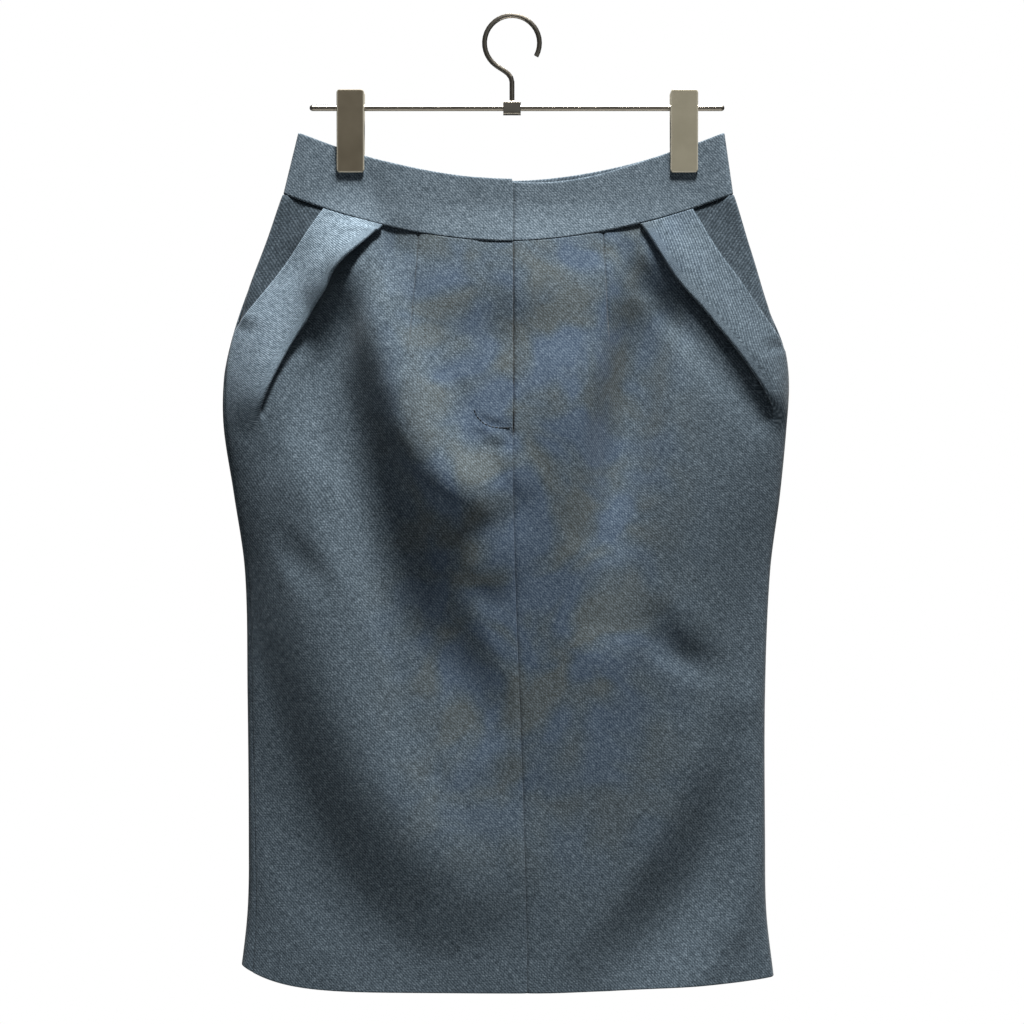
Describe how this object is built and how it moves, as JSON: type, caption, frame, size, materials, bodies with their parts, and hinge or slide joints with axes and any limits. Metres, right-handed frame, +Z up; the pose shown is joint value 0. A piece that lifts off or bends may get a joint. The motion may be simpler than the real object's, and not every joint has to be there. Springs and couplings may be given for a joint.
{
  "type": "pencil skirt on a clip hanger",
  "caption": "Fitted knee-length skirt with a waistband, front fly, darts, slanted pleated pockets and a back vent, hung from a bar hanger by pinch clips",
  "frame": {"origin": "the inner top of the hanger's hook, where it rests on a rail", "axes": "+X to the right as seen from the front, +Y towards the back, +Z up"},
  "size_m": [0.4528, 0.0913, 0.7801],
  "materials": {
    "suiting": "matte melange twill, blue grey",
    "clip_metal": "satin taupe lacquer",
    "wire_metal": "satin"
  },
  "bodies": {
    "root": {"front_left": "suiting", "front_right": "suiting", "hip_yoke_left": "suiting", "hip_yoke_right": "suiting", "back_left": "suiting", "back_right": "suiting", "waistband_left": "suiting", "waistband_right": "suiting", "waistband_back": "suiting", "clip_left_front": "clip_metal", "clip_left_back": "clip_metal", "clip_left_saddle": "clip_metal", "clip_right_front": "clip_metal", "clip_right_back": "clip_metal", "clip_right_saddle": "clip_metal", "hanger_bar": "wire_metal", "hanger_hook": "wire_metal", "hanger_collar": "wire_metal"}
  },
  "joints": []
}
